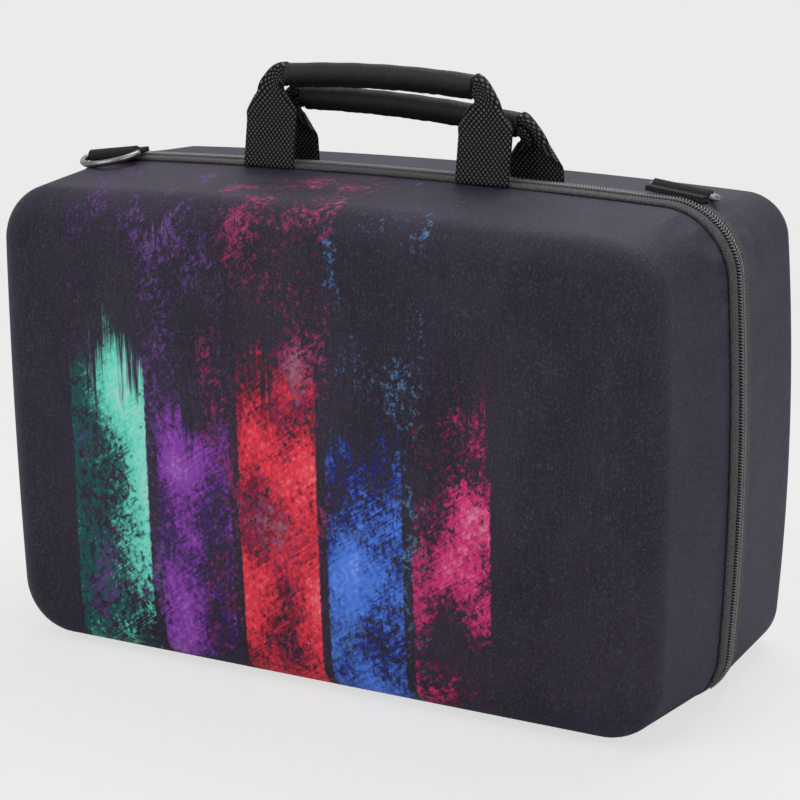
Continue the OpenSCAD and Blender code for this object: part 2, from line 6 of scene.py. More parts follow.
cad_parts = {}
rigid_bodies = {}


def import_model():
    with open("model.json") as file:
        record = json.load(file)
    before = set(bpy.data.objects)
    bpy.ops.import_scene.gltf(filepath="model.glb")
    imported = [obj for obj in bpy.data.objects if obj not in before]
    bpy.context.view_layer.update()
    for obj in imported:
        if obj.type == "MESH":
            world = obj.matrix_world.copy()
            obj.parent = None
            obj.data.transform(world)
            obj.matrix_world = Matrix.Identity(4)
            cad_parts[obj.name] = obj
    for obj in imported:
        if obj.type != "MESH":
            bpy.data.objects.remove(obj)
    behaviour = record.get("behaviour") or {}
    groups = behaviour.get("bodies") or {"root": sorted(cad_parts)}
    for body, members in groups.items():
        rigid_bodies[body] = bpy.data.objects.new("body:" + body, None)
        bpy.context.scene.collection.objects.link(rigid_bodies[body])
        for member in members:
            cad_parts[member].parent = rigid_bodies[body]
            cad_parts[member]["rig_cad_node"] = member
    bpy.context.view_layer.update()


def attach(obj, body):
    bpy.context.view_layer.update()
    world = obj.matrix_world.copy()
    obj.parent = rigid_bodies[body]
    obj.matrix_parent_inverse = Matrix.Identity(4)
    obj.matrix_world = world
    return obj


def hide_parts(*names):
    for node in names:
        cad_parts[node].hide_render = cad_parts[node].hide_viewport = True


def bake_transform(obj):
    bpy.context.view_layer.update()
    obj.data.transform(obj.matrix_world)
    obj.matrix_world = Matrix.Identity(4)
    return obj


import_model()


# Setting: camera, soft light and a pale floor
# The bag stands on a pale studio floor. The camera looks from the front and a little
# from the right, as it does in the photograph.
AIM_HEIGHT = 0.1642


def place_camera(azimuth, elevation, roll, distance, aim, lens):
    """The camera stands at the aim plus distance along the direction back to it, and its
    right and up directions are turned by the roll about that direction."""
    around, above, rolled = np.radians([azimuth, elevation, roll])
    back = np.array([np.sin(around) * np.cos(above), -np.cos(around) * np.cos(above), np.sin(above)])
    level = np.array([np.cos(around), np.sin(around), 0])
    right = level * np.cos(rolled) + np.cross(back, level) * np.sin(rolled)
    up = np.cross(back, right)
    at = np.array([0, 0, AIM_HEIGHT]) + right * aim[0] + up * aim[1] + back * distance
    data = bpy.data.cameras.new("camera")
    data.sensor_width = 36
    data.lens = lens
    data.clip_end = 30
    camera = bpy.data.objects.new("camera", data)
    camera.matrix_world = Matrix(np.block([[np.column_stack([right, up, back]), at[:, None]],
                                           [np.zeros((1, 3)), np.ones((1, 1))]]).tolist())
    bpy.context.scene.collection.objects.link(camera)
    bpy.context.scene.camera = camera


def hang_lamp(name, at, toward, size, watts, colour):
    """A square area lamp at a point, turned to face another."""
    data = bpy.data.lights.new(name, "AREA")
    data.shape = "SQUARE"
    data.size = size
    data.energy = watts
    data.color = colour
    lamp = bpy.data.objects.new(name, data)
    facing = (Vector(toward) - Vector(at)).to_track_quat("-Z", "Y")
    lamp.matrix_world = Matrix.Translation(at) @ facing.to_matrix().to_4x4()
    bpy.context.scene.collection.objects.link(lamp)


place_camera(28.7, 15.9, -0.89, 1.60686, (0.00779, 0.0076), 107.48)
hang_lamp("key_lamp", (-0.9, -1.7, 1.9), (0, 0, 0.15), 1.6, 30, (1.0, 0.985, 0.97))
hang_lamp("side_lamp", (2.2, -0.6, 1.2), (0, 0, 0.15), 1.4, 17, (1.0, 0.95, 0.9))
hang_lamp("top_lamp", (0.1, 0.9, 2.1), (0, 0, 0.2), 1.4, 34, (0.95, 0.95, 1.0))


def tree_of(*inputs):
    """The node tree of the first socket among the inputs."""
    return next(value for value in inputs if isinstance(value, bpy.types.NodeSocket)).id_data


def math_node(operation, a, b=None, c=None, clamp=False):
    """A Math node; each input is a number or another node's socket."""
    tree = tree_of(a, b, c)
    node = tree.nodes.new("ShaderNodeMath")
    node.operation = operation
    node.use_clamp = clamp
    for i, value in enumerate((a, b, c)):
        if isinstance(value, (int, float)):
            node.inputs[i].default_value = value
        elif value is not None:
            tree.links.new(value, node.inputs[i])
    return node.outputs[0]


# The world shows the pale backdrop to camera, glossy and transmitted rays, and lights
# everything else with a dimmer, slightly cooler sky.
world = bpy.data.worlds.new("studio")
bpy.context.scene.world = world
world.use_nodes = True
sky = world.node_tree
sky.nodes.clear()
ray = sky.nodes.new("ShaderNodeLightPath")
shows = math_node("MAXIMUM", ray.outputs["Is Camera Ray"], ray.outputs["Is Glossy Ray"])
shows = math_node("MAXIMUM", shows, ray.outputs["Is Transmission Ray"])
sky_light, backdrop, sky_mix, sky_out = (sky.nodes.new(kind) for kind in (
    "ShaderNodeBackground", "ShaderNodeBackground", "ShaderNodeMixShader", "ShaderNodeOutputWorld"))
sky_light.inputs["Color"].default_value = (0.9, 0.93, 1.0, 1)
sky_light.inputs["Strength"].default_value = 0.42
backdrop.inputs["Color"].default_value = (0.831, 0.831, 0.831, 1)
backdrop.inputs["Strength"].default_value = 1
sky.links.new(shows, sky_mix.inputs["Fac"])
sky.links.new(sky_light.outputs[0], sky_mix.inputs[1])
sky.links.new(backdrop.outputs[0], sky_mix.inputs[2])
sky.links.new(sky_mix.outputs[0], sky_out.inputs["Surface"])
bpy.context.scene.view_settings.view_transform = "Standard"


def mesh_object(name, points, faces, uv=None, smooth=True):
    """An object at the origin from points and faces, with one UV per point if any."""
    mesh = bpy.data.meshes.new(name)
    mesh.from_pydata(np.asarray(points, float).reshape(-1, 3).tolist(), [],
                     [list(map(int, f)) for f in faces])
    if uv is not None:
        layer = mesh.uv_layers.new(name="UVMap")
        corners = np.zeros(len(mesh.loops), np.int32)
        mesh.loops.foreach_get("vertex_index", corners)
        layer.data.foreach_set("uv", np.asarray(uv, np.float32).reshape(-1, 2)[corners].ravel())
    mesh.polygons.foreach_set("use_smooth", [smooth] * len(mesh.polygons))
    mesh.update()
    piece = bpy.data.objects.new(name, mesh)
    bpy.context.scene.collection.objects.link(piece)
    return piece


# The floor takes the bag's shadow. To the camera its paint is four fifths clear under the
# bag and all clear a metre out, so it runs into the backdrop without an edge.
FLOOR_REACH, FLOOR_HEIGHT = 6, -0.0006
floor = mesh_object("floor", [(x * FLOOR_REACH, y * FLOOR_REACH, FLOOR_HEIGHT)
                              for x, y in ((-1, -1), (1, -1), (1, 1), (-1, 1))],
                    [(0, 1, 2, 3)], smooth=False)
floor_paint = bpy.data.materials.new("floor_paint")
floor_paint.use_nodes = True
ground = floor_paint.node_tree
ground.nodes.clear()
paint, clear_paint, floor_ray, floor_at, from_bag, fade, floor_mix, floor_out = (
    ground.nodes.new("ShaderNode" + kind) for kind in (
        "BsdfDiffuse", "BsdfTransparent", "LightPath", "TexCoord", "VectorMath", "MapRange", "MixShader",
        "OutputMaterial"))
paint.inputs["Color"].default_value = (0.82, 0.82, 0.82, 1)
from_bag.operation = "LENGTH"
for label, value in (("From Min", 0.35), ("From Max", 1.0), ("To Min", 0.8), ("To Max", 1.0)):
    fade.inputs[label].default_value = value
ground.links.new(floor_at.outputs["Object"], from_bag.inputs[0])
ground.links.new(from_bag.outputs["Value"], fade.inputs["Value"])
clearness = math_node("MULTIPLY", floor_ray.outputs["Is Camera Ray"], fade.outputs[0])
ground.links.new(clearness, floor_mix.inputs["Fac"])
ground.links.new(paint.outputs[0], floor_mix.inputs[1])
ground.links.new(clear_paint.outputs[0], floor_mix.inputs[2])
ground.links.new(floor_mix.outputs[0], floor_out.inputs["Surface"])
floor.data.materials.append(floor_paint)


# Front shell
# The front half of the case: a cup of moulded foam with printed cloth laminated to its
# outside and a knitted lining inside. Its rim is sewn to the zip band.
HALF_WIDTH, HEIGHT, MIDDLE = 0.250, 0.328, 0.164
SIDE_BOW, TOP_BOW = 0.0079, 0.0066
TOP_CORNER, BOTTOM_CORNER = 0.046, 0.033
WALL, CROWN = 0.005, 0.004
GROOVE_DEPTH, GROOVE_END, GROOVE_RUN = 0.0024, 0.0185, 0.003
RIM_GAP, BAND_END = 0.004, 0.0155

# Each half's depth, draft of its sides and of its top, radius of its rounded edge, radius
# of the face's corners, bow of the face's sides, and draft of its underside
FRONT_SIDE = (0.114, 0.0095, 0.0043, 0.023, 0.039, 0.0029, 0.003)
BACK_SIDE = (0.125, 0.0025, 0.0093, 0.024, 0.031, 0.0079, 0.0)
ARC_STEPS = np.array([18, 26, 20, 44, 20, 26, 18])


def rounded_outline(half, low, high, side_bow, top_bow, top_r, bottom_r):
    """Seven arcs that run into each other from the bottom right corner over the top to
    the bottom left one: a rounded rectangle whose sides and top bow out. A bow's radius is
    (h squared plus bow squared) over twice the bow, for a chord of half length h. A top
    corner's centre lies where two circles cross, whose radii are a side's and the top's less
    the corner's own. Each argument is an array over stations; the result is centre x, centre
    z, radius, first and last angle, each of shape (7, stations)."""
    half, low, high, side_bow, top_bow, top_r, bottom_r = np.broadcast_arrays(
        half, low, high, side_bow, top_bow, top_r, bottom_r)
    middle = (low + high) / 2
    side_r = (((high - low) / 2) ** 2 + side_bow ** 2) / (2 * side_bow)
    crown_r = (half ** 2 + top_bow ** 2) / (2 * top_bow)
    side_x, crown_z = half - side_r, high - crown_r
    apart = np.hypot(side_x, crown_z - middle)
    toward_x, toward_z = -side_x / apart, (crown_z - middle) / apart
    from_side, from_crown = side_r - top_r, crown_r - top_r
    along = (from_side ** 2 - from_crown ** 2 + apart ** 2) / (2 * apart)
    off = np.sqrt(from_side ** 2 - along ** 2)
    top_x = side_x + toward_x * along - toward_z * off
    top_z = middle + toward_z * along + toward_x * off
    foot_z = low + bottom_r
    foot_x = side_x + np.sqrt((side_r - bottom_r) ** 2 - (foot_z - middle) ** 2)
    foot_end = np.arctan2(foot_z - middle, foot_x - side_x)
    side_end = np.arctan2(top_z - middle, top_x - side_x)
    corner_end = np.arctan2(top_z - crown_z, top_x)
    quarter, zero = np.pi / 2, np.zeros_like(half)
    joins = [foot_end, side_end, corner_end, np.pi - corner_end, np.pi - side_end, np.pi - foot_end]
    return np.array([
        [foot_x, side_x, top_x, zero, -top_x, -side_x, -foot_x],
        [foot_z, middle, top_z, crown_z, top_z, middle, foot_z],
        [bottom_r, side_r, top_r, crown_r, top_r, side_r, bottom_r],
        [zero - quarter, *joins],
        [*joins, zero + 3 * quarter]])


def case_outline(side, y, inset):
    """The outline of a half of the case at a depth y from the zip line, moved in by inset.
    Sides and top taper, and corners and bows change, in step with the depth's share of the
    flank. Near the zip line the underside is raised by the depth of the hinge's groove."""
    depth, side_draft, top_draft, edge, corner, bow, low_draft = side
    y = np.abs(np.asarray(y, float))
    t = np.clip(y / (depth - CROWN - edge), 0, 1)
    groove = GROOVE_DEPTH * np.clip((GROOVE_END - y) / GROOVE_RUN, 0, 1)
    return rounded_outline(
        HALF_WIDTH - side_draft * t - inset, groove + low_draft * t + inset, HEIGHT - top_draft * t - inset,
        SIDE_BOW * (1 - t) + bow * t, TOP_BOW + 0 * t,
        TOP_CORNER * (1 - t) + corner * t - inset, BOTTOM_CORNER * (1 - t) + corner * t - inset)


def outline_points(arcs, bottom=28):
    """Points on the arcs, shape (stations, columns, 2), closed by a straight bottom. Column
    by column, each is centre plus radius times (cosine, sine) of an angle that runs evenly
    along its arc."""
    which = np.append(np.repeat(np.arange(7), ARC_STEPS), 6)
    share = np.concatenate([np.arange(steps) / steps for steps in ARC_STEPS] + [[1.0]])
    x, z, radius, first, last = (part[which].T for part in arcs)
    angle = first * (1 - share) + last * share
    ring = np.stack([x + radius * np.cos(angle), z + radius * np.sin(angle)], -1)
    across = (np.arange(1, bottom) / bottom)[None, :, None]
    return np.concatenate([ring, ring[:, -1:] * (1 - across) + ring[:, :1] * across], 1)


def cup_rows(side, inset):
    """Rows of points of one surface of a shell, from its rim over the flank and the rounded
    edge to the crowned face, whose rings shrink towards its middle. The edge is an arc: depth
    plus radius times sine, inset plus radius times one minus cosine. Also the pole, the point
    in the middle of the face."""
    depth, edge = side[0], side[3]
    radius = edge - inset * 0.6
    flank_end = depth - CROWN - radius - inset
    flank = np.concatenate([[RIM_GAP, BAND_END, 0.017, GROOVE_END], np.linspace(0.026, flank_end, 10)[:-1]])
    turn = np.radians(np.linspace(0, 90, 13))
    y = np.concatenate([flank, flank_end + radius * np.sin(turn)])
    drawn_in = np.concatenate([np.full(len(flank), inset), inset + radius * (1 - np.cos(turn))])
    ring = outline_points(case_outline(side, np.minimum(y, flank_end), drawn_in))
    ring = np.stack([ring[..., 0], np.broadcast_to(y[:, None], ring.shape[:2]), ring[..., 1]], -1)
    shrunk = np.array([0.94, 0.85, 0.74, 0.6, 0.45, 0.3, 0.15])[:, None]
    x, y, z = ring[-1].T
    face = np.stack([x * shrunk, y + CROWN * (1 - shrunk ** 2), MIDDLE + (z - MIDDLE) * shrunk], -1)
    return np.concatenate([ring, face]), np.array([0, depth - inset, MIDDLE])


def grid_quads(rows, columns, rows_close=False, columns_close=True):
    """Quads between neighbouring points of a grid that is numbered row by row: a point, the
    next in its row, and the two below them. Rows and columns may close round."""
    i = np.arange(rows if rows_close else rows - 1)[:, None]
    j = np.arange(columns if columns_close else columns - 1)
    next_i, next_j = (i + 1) % rows, (j + 1) % columns
    corners = ((i, j), (i, next_j), (next_i, next_j), (next_i, j))
    return np.stack([row * columns + column for row, column in corners], -1).reshape(-1, 4)


# The row at 60 degrees of the rounded edge, where the cloth's UV changes layout
LAST_FLANK_ROW = 21


def lay_cloth(points):
    """UV in metres: height and width on the face, and round the girth and across the depth
    on the flank, where the distance along the rim is summed from column to column."""
    step = np.linalg.norm(np.diff(points, axis=1, append=points[:, :1]), axis=-1)
    along = np.concatenate([np.zeros((len(points), 1)), np.cumsum(step, 1)[:, :-1]], 1)
    flank = np.stack([np.broadcast_to(along[0], along.shape), np.abs(points[..., 1])], -1)
    on_face = (np.arange(len(points)) > LAST_FLANK_ROW)[:, None, None]
    return np.where(on_face, points[..., [0, 2]], flank)


PUCKER_HEIGHT = 0.0007


def puckered(points):
    """Cloth drawn in beside the sewn band: waves along the outline, moved out and in by
    1.2 mm at most, that grow towards the top corners and fade away over the depth as a bell
    curve that starts past the band's edge."""
    x, y, z = np.moveaxis(points, -1, 0)
    along = np.roll(points, -1, 1) - np.roll(points, 1, 1)
    out = np.stack([along[..., 2], 0 * y, -along[..., 0]], -1)
    out *= np.sign((out * [1, 0, 1] * (points - [0, 0, MIDDLE])).sum(-1, keepdims=True))
    out /= np.linalg.norm(out, axis=-1, keepdims=True)
    girth = np.cumsum(np.linalg.norm(along[0], axis=-1) / 2)[None]
    wave = np.sin(girth * 196 + 1.2 * np.sin(girth * 47)) + 0.4 * np.sin(girth * 331 + y * 40)
    corner = np.clip((np.abs(x) - 0.16) / 0.07, 0, 1) * np.clip((z - 0.19) / 0.09, 0, 1)
    past = np.clip((y - BAND_END) / 0.008, 0, 1) * np.exp(-(((y - 0.020) / 0.030) ** 2))
    return points + out * (PUCKER_HEIGHT * past * (0.2 + corner) * wave)[..., None]


def make_shell(name, side, sign):
    """A cup with an even wall: rows of the outer surface from the middle of the face out to
    the rim, the rim's own row, and rows of the inner surface back to the middle, closed by a
    fan of triangles at each end. Faces turn round with the sign, so they point outwards on
    either side. The first row of quads past the flank takes the face's UV at all its corners,
    so that no quad stretches from one layout to the other."""
    outer, outer_pole = cup_rows(side, 0.0)
    outer = puckered(outer)
    inner, inner_pole = cup_rows(side, WALL)
    deep, columns = outer.shape[:2]
    rim = outer[:1] * 0.5 + inner[:1] * 0.5
    rim[..., 1] -= 0.0008
    rows = np.concatenate([outer[::-1], rim, inner])
    outer_uv = lay_cloth(outer)
    uv = np.concatenate([outer_uv[::-1], outer_uv[:1], lay_cloth(inner)])
    points = np.concatenate([rows.reshape(-1, 3), [outer_pole, inner_pole]])
    uv = np.concatenate([uv.reshape(-1, 2), [[0, MIDDLE], [0, MIDDLE]]])
    points[:, 1] *= sign
    column = np.arange(columns)
    beside = (column + 1) % columns
    last_row, pole = (len(rows) - 1) * columns, len(rows) * columns
    fans = np.concatenate([np.stack([column * 0 + pole, beside, column], -1),
                           np.stack([last_row + column, last_row + beside, column * 0 + pole + 1], -1)])
    faces = grid_quads(len(rows), columns)[:, ::sign].tolist() + fans[:, ::sign].tolist()
    shell = mesh_object(name, points, faces, uv)
    cloth_or_lining = np.zeros(len(faces), np.int32)
    cloth_or_lining[deep * columns:last_row] = 1
    cloth_or_lining[-columns:] = 1
    shell.data.polygons.foreach_set("material_index", cloth_or_lining)
    corners = np.zeros(len(shell.data.loops), np.int32)
    shell.data.loops.foreach_get("vertex_index", corners)
    laid = uv[corners]
    for row in (deep - 2 - LAST_FLANK_ROW, deep + 1 + LAST_FLANK_ROW):
        first = slice(4 * columns * row, 4 * columns * (row + 1))
        laid[first] = points[corners[first]][:, [0, 2]]
    shell.data.uv_layers[0].data.foreach_set("uv", laid.astype(np.float32).ravel())
    return shell


def new_group(name, inputs, outputs):
    """An empty shader node group with the given sockets, (name, kind, value)."""
    group = bpy.data.node_groups.new(name, "ShaderNodeTree")
    for way, sockets in (("INPUT", inputs), ("OUTPUT", outputs)):
        for label, kind, value in sockets:
            socket = group.interface.new_socket(name=label, in_out=way, socket_type="NodeSocket" + kind)
            if value is not None:
                socket.default_value = value
    return group, group.nodes.new("NodeGroupInput"), group.nodes.new("NodeGroupOutput")


def times(a, b, clamp=False):
    """The product of two inputs."""
    return math_node("MULTIPLY", a, b, clamp=clamp)


def times_plus(a, b, c):
    """The product of two inputs, plus a third."""
    return math_node("MULTIPLY_ADD", a, b, c)


def plus(a, b):
    """The sum of two inputs."""
    return math_node("ADD", a, b)


def minus(a, b):
    """The first input less the second."""
    return math_node("SUBTRACT", a, b)


def parts_of(vector):
    """The x, y and z of a vector."""
    tree = tree_of(vector)
    node = tree.nodes.new("ShaderNodeSeparateXYZ")
    tree.links.new(vector, node.inputs[0])
    return tuple(node.outputs)


def noise_node(vector, stretch, detail=3.0, rough=0.55, scale=1.0):
    """Noise on a vector that is stretched first."""
    tree = tree_of(vector)
    stretched = tree.nodes.new("ShaderNodeMapping")
    stretched.inputs["Scale"].default_value = stretch
    tree.links.new(vector, stretched.inputs["Vector"])
    noise = tree.nodes.new("ShaderNodeTexNoise")
    noise.inputs["Scale"].default_value = scale
    noise.inputs["Detail"].default_value = detail
    noise.inputs["Roughness"].default_value = rough
    tree.links.new(stretched.outputs[0], noise.inputs["Vector"])
    return noise.outputs["Fac"]


def ramp(value, low, high):
    """0 below low and 1 above high, smooth between."""
    tree = tree_of(value)
    node = tree.nodes.new("ShaderNodeMapRange")
    node.interpolation_type = "SMOOTHSTEP"
    node.inputs["From Min"].default_value = low
    node.inputs["From Max"].default_value = high
    tree.links.new(value, node.inputs["Value"])
    return node.outputs[0]


# Plain weave: threads of one width cross over and under, so the height is the product of
# two sine waves, one along and one across, and each thread has its own tone.
weave, weave_in, weave_out = new_group(
    "plain_weave",
    [("UV", "Vector", None), ("Threads per metre", "Float", 900.0), ("Across", "Float", 1.0)],
    [("Height", "Float", None), ("Tone", "Float", None)])
weave_x, weave_y, _ = parts_of(weave_in.outputs["UV"])
half_turns = times(weave_in.outputs["Threads per metre"], 3.14159)
warp = math_node("SINE", times(weave_x, half_turns))
weft = math_node("SINE", times(times(weave_y, half_turns), weave_in.outputs["Across"]))
weave.links.new(times_plus(times(warp, weft), 0.5, 0.5), weave_out.inputs["Height"])
weave.links.new(noise_node(weave_in.outputs["UV"], (900, 60, 1), 2.0, 0.6), weave_out.inputs["Tone"])


def uv_socket(tree):
    """The piece's own UV map."""
    return tree.nodes.new("ShaderNodeUVMap").outputs["UV"]


def object_socket(tree):
    """The piece's Object coordinates, in metres."""
    return tree.nodes.new("ShaderNodeTexCoord").outputs["Object"]


def place_group(tree, group, **values):
    """The outputs of a group placed in a tree, its values set or its sockets linked."""
    node = tree.nodes.new("ShaderNodeGroup")
    node.node_tree = group
    for label, value in values.items():
        socket = node.inputs[label.replace("_", " ")]
        if isinstance(value, bpy.types.NodeSocket):
            tree.links.new(value, socket)
        else:
            socket.default_value = value
    return node.outputs


def mix_colour(share, a, b):
    """Goes from a to b as the share, a socket, goes from 0 to 1. A colour is an RGB triple
    or a socket."""
    tree = tree_of(share)
    node = tree.nodes.new("ShaderNodeMix")
    node.data_type = "RGBA"
    for socket, value in ((node.inputs[0], share), (node.inputs[6], a), (node.inputs[7], b)):
        if isinstance(value, tuple):
            socket.default_value = (*value, 1)
        else:
            tree.links.new(value, socket)
    return node.outputs[2]


def new_material(name, roughness, specular=0.5, sheen=0.0, metallic=0.0):
    """A material, its node tree and its Principled shader."""
    material = bpy.data.materials.new(name)
    material.use_nodes = True
    shader = material.node_tree.nodes["Principled BSDF"]
    shader.inputs["Roughness"].default_value = roughness
    shader.inputs["Specular IOR Level"].default_value = specular
    shader.inputs["Sheen Weight"].default_value = sheen
    shader.inputs["Metallic"].default_value = metallic
    return material, material.node_tree, shader


def dye(shader, colour, relief=None, strength=0.0, depth=0.0):
    """Links a colour to the shader and, if there is one, a relief of a depth in metres."""
    tree = shader.id_data
    tree.links.new(colour, shader.inputs["Base Color"])
    if relief is None:
        return
    bump = tree.nodes.new("ShaderNodeBump")
    bump.inputs["Strength"].default_value = strength
    bump.inputs["Distance"].default_value = depth
    tree.links.new(relief, bump.inputs["Height"])
    tree.links.new(bump.outputs[0], shader.inputs["Normal"])


# Worn ink: a straight band of print, sharp at its sides and torn into upright fringes at
# its top. Coarse noise moves the level at which fine noise breaks the ink through to the
# cloth, and a second fine noise, with slanting scratches, gives its light and dark tones.
ink, ink_in, ink_out = new_group(
    "worn_ink",
    [("Position", "Vector", None), ("Middle", "Float", 0.0), ("Half", "Float", 0.03),
     ("Top", "Float", 0.2), ("Fringe", "Float", 0.05), ("Wear", "Float", 0.5), ("Seed", "Float", 0.0),
     ("Lean", "Float", 0.0)],
    [("Mask", "Float", None), ("Tint", "Float", None), ("Glint", "Float", None)])
given = ink_in.outputs
seed_shift = ink.nodes.new("ShaderNodeCombineXYZ")
for axis in range(3):
    ink.links.new(given["Seed"], seed_shift.inputs[axis])
shifted = ink.nodes.new("ShaderNodeVectorMath")
ink.links.new(given["Position"], shifted.inputs[0])
ink.links.new(seed_shift.outputs[0], shifted.inputs[1])
here = shifted.outputs[0]
ink_x, _, ink_z = parts_of(given["Position"])

ragged = noise_node(here, (420, 420, 420), 3.0, 0.6)
from_middle = minus(ink_x, given["Middle"])
sideways = math_node("ABSOLUTE", from_middle)
side_gap = minus(given["Half"], times_plus(ragged, 0.004, minus(sideways, 0.002)))
fringe = noise_node(here, (330, 330, 9), 4.0, 0.7)
lobes = noise_node(here, (45, 45, 14), 2.0, 0.5)
reach = times(minus(plus(fringe, lobes), 1.0), times(given["Fringe"], 2.4))
top_gap = minus(plus(given["Top"], reach), ink_z)

coarse = noise_node(here, (24, 24, 15), 2.0, 0.5)
fine = noise_node(here, (240, 240, 190), 6.0, 0.76)
slanting = ink.nodes.new("ShaderNodeMapping")
slanting.inputs["Rotation"].default_value = (0, 0.62, 0)
ink.links.new(here, slanting.inputs["Vector"])
scratch = noise_node(slanting.outputs[0], (26, 26, 900), 4.0, 0.7)
grit = times_plus(scratch, 0.22, times_plus(coarse, 0.50, times(fine, 0.9)))
kept = minus(grit, times_plus(given["Wear"], 0.34, 0.595))
inside = times(ramp(side_gap, -0.0005, 0.0007), ramp(top_gap, -0.006, 0.022))
ink.links.new(times(inside, ramp(kept, -0.03, 0.035), clamp=True), ink_out.inputs["Mask"])

speck = noise_node(here, (300, 300, 230), 6.0, 0.78)
tint = times_plus(speck, 0.75, times(from_middle, given["Lean"]))
tint = times_plus(scratch, 0.35, times_plus(coarse, 0.75, tint))
ink.links.new(ramp(tint, 0.82, 1.04), ink_out.inputs["Tint"])
ink.links.new(ramp(tint, 1.03, 1.20), ink_out.inputs["Glint"])

# Printed cloth: near black with a violet cast, five worn bands of colour that run down the
# front and under it, and faint smears of the same inks that run up over the top.
cloth, cloth_tree, cloth_shader = new_material("printed_cloth", 0.62, specular=0.20)
cloth_weave = place_group(cloth_tree, weave, UV=uv_socket(cloth_tree), Threads_per_metre=1250.0)
cloth_at = object_socket(cloth_tree)
cloth_x, cloth_y, cloth_z = parts_of(cloth_at)
body_tone = noise_node(cloth_at, (13, 13, 8), 3.0, 0.6)
streak = noise_node(uv_socket(cloth_tree), (1100, 36, 1), 3.0, 0.65)
dust = noise_node(cloth_at, (640, 640, 540), 3.0, 0.8)
base = mix_colour(ramp(body_tone, 0.3, 0.72), (0.0092, 0.0062, 0.0166), (0.0225, 0.0165, 0.0355))
# Lighter streaks that run along the UV's second direction
lighter_streaks = times(ramp(streak, 0.42, 0.72), 0.30)
base = mix_colour(lighter_streaks, base, (0.046, 0.040, 0.060))
dusty = times(ramp(dust, 0.48, 0.76), 0.45)
base = mix_colour(dusty, base, (0.120, 0.105, 0.150))

# Each print's middle, half width, top, fringe, wear, lean of its tones, strength, dark and
# light tone, and seed. The smears start beside the zip, and the bands past the front's edge.
SMEARS = (
    (-0.118, 0.060, 0.325, 0.10, 0.84, 0.8, 0.36, (0.05, 0.02, 0.12), (0.26, 0.07, 0.48), 31.0),
    (-0.028, 0.050, 0.345, 0.05, 0.80, 0.8, 0.45, (0.12, 0.01, 0.06), (0.62, 0.03, 0.20), 7.0),
    (0.052, 0.036, 0.330, 0.08, 0.94, 0.8, 0.50, (0.03, 0.05, 0.20), (0.10, 0.30, 0.62), 19.0))
BANDS = (
    (-0.150, 0.0300, 0.214, 0.05, 0.44, 4.5, 0.95, (0.004, 0.080, 0.078), (0.160, 0.820, 0.620), 3.0),
    (-0.0835, 0.0285, 0.178, 0.05, 0.48, 0.8, 0.92, (0.030, 0.008, 0.110), (0.320, 0.060, 0.480), 11.0),
    (-0.0190, 0.0290, 0.226, 0.05, 0.50, 0.8, 0.97, (0.200, 0.004, 0.026), (0.930, 0.045, 0.080), 23.0),
    (0.0440, 0.0270, 0.188, 0.05, 0.50, 0.8, 0.97, (0.010, 0.012, 0.170), (0.080, 0.240, 0.860), 43.0),
    (0.1050, 0.0270, 0.218, 0.06, 0.62, 0.8, 0.95, (0.120, 0.004, 0.040), (0.740, 0.035, 0.200), 59.0))
SMEARS_START, BANDS_START = (0.010, 0.030), (0.088, 0.094)
to_front = times(cloth_y, -1.0)
for prints, start in ((SMEARS, SMEARS_START), (BANDS, BANDS_START)):
    for middle, half, top, torn, wear, lean, strength, dark, light, seed in prints:
        layer = place_group(cloth_tree, ink, Position=cloth_at, Middle=middle, Half=half, Top=top,
                            Fringe=torn, Wear=wear, Seed=seed, Lean=lean)
        laid_on = times(layer["Mask"], ramp(to_front, *start))
        shade = mix_colour(layer["Tint"], dark, light)
        pale = tuple(0.55 * v + 0.40 for v in light)
        shade = mix_colour(times(layer["Glint"], 0.7), shade, pale)
        base = mix_colour(times(laid_on, strength), base, shade)

# Fine puckers beside the band, deepest towards the top corners. A painted highlight lightens their ridges.
uneven = noise_node(cloth_at, (26, 12, 26), 2.0, 0.5)
pucker = noise_node(cloth_at, (62, 11, 62), 2.0, 0.5)
near_side = ramp(math_node("ABSOLUTE", cloth_x), 0.165, 0.232)
near_corner = times(near_side, ramp(cloth_z, 0.19, 0.29))
from_zip = math_node("ABSOLUTE", cloth_y)
near_band = minus(1.0, ramp(from_zip, 0.02, 0.075))
pulled = times(times(pucker, near_band), times_plus(near_corner, 1.5, 0.35))
# Painted highlight: the cloth is lightened on the puckers' ridges.
pucker_highlight = times(ramp(pulled, 0.70, 1.05), 0.25)
base = mix_colour(pucker_highlight, base, (0.085, 0.076, 0.100))
# Painted shade: the cloth is darkened towards black between the raised threads of its weave.
shade_between_threads = times(minus(1.0, cloth_weave["Height"]), 0.35)
cloth_relief = times_plus(cloth_weave["Height"], 0.06, times_plus(pulled, 0.9, uneven))
dye(cloth_shader, mix_colour(shade_between_threads, base, (0.0, 0.0, 0.0)), cloth_relief, 0.6, 0.0028)

# Knitted lining of the inside
lining, lining_tree, lining_shader = new_material("knit_lining", 0.85, sheen=0.3)
knit = place_group(lining_tree, weave, UV=uv_socket(lining_tree), Threads_per_metre=700.0)
dye(lining_shader, mix_colour(knit["Tone"], (0.035, 0.035, 0.038), (0.075, 0.075, 0.08)),
    knit["Height"], 0.4, 0.0003)

front_shell = make_shell("front_shell_cloth", FRONT_SIDE, -1)
front_shell.data.materials.append(cloth)
front_shell.data.materials.append(lining)
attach(front_shell, "front_half")
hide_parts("front_shell")


# Back shell
# The deeper back half, moulded of the same foam and covered with the same cloth. Its face
# and flank have no print.
back_shell = make_shell("back_shell_cloth", BACK_SIDE, 1)
back_shell.data.materials.append(cloth)
back_shell.data.materials.append(lining)
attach(back_shell, "back_half")
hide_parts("back_shell")


